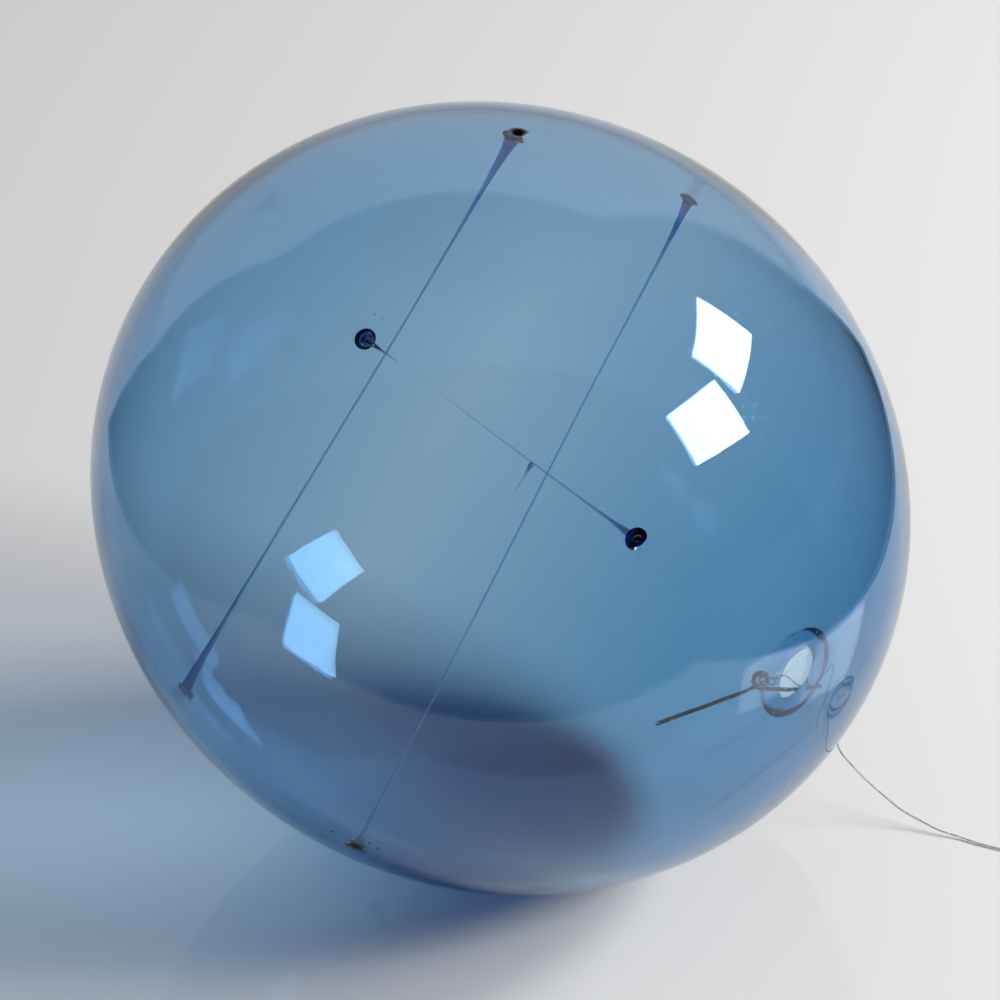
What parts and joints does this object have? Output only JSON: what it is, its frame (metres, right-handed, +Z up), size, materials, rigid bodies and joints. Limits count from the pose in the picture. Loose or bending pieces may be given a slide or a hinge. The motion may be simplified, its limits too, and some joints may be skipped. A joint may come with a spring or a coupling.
{
  "type": "blown glass hanging ball",
  "caption": "Hollow blown glass ball with drawn glass threads inside, a wire toggle in its mouth and a clear nylon hanging line.",
  "frame": {"origin": "on the table, straight below the middle of the ball as it lies", "axes": "+Z up; +X to the side where the mouth lies and the line runs off; +Y to the back"},
  "size_m": [0.2091, 0.1514, 0.1569],
  "materials": {
    "blue_glass": "clear blue blown glass, fire polished",
    "dark_glass": "the same blue glass, drawn thick, so it looks darker",
    "steel_wire": "dull grey spring steel wire",
    "clear_nylon": "clear nylon monofilament",
    "paper_tie": "pale paper-covered tie"
  },
  "bodies": {
    "ball": {"glass_shell": "blue_glass", "strand_left": "dark_glass", "strand_right": "dark_glass", "strand_front": "dark_glass", "strand_rear": "dark_glass", "strand_drip": "dark_glass", "hanging_line": "clear_nylon", "line_coil": "clear_nylon", "coil_tie": "paper_tie", "end_loop": "clear_nylon", "end_knot": "clear_nylon"},
    "loop": {"line_loop": "clear_nylon", "loop_knot": "clear_nylon"},
    "toggle": {"wire_toggle": "steel_wire"}
  },
  "joints": [
    {"name": "loop_twist", "type": "hinge", "parent": "ball", "child": "loop", "pos_m": [0.05417, 0.01375, 0.02526], "axis": [0.7209, 0.6679, -0.185], "range_deg": [-7, 7]},
    {"name": "toggle_rock", "type": "hinge", "parent": "loop", "child": "toggle", "pos_m": [0.05271, 0.01386, 0.02538], "axis": [-0.11, -0.9766, 0.1849], "range_deg": [-6, 4]}
  ]
}
